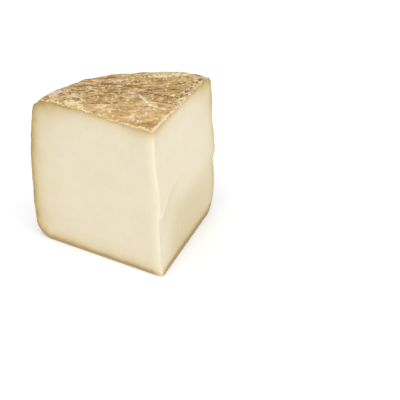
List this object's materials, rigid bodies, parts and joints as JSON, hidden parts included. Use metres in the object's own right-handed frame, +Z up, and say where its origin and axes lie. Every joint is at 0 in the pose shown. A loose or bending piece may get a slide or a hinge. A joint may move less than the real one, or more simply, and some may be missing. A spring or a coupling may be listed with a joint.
{
  "type": "cut piece of sheep and goat tomme",
  "caption": "Thick wedge cut from a tall round tomme, with smooth ivory paste on the cut faces and a rough brown natural rind; stands on its flat base.",
  "frame": {"origin": "on the flat base, under the middle of the piece's box", "axes": "+Z up, -Y towards the point of the cut, +Y towards the rind, +X to the right seen from the point"},
  "size_m": [0.1362, 0.109, 0.1157],
  "materials": {
    "paste": "smooth semi-hard cheese, faintly moist, darker beside the rind",
    "rind": "dry rough natural rind, brown with cracks and pale bloom"
  },
  "bodies": {
    "root": {"tomme_piece": "paste"}
  },
  "joints": []
}
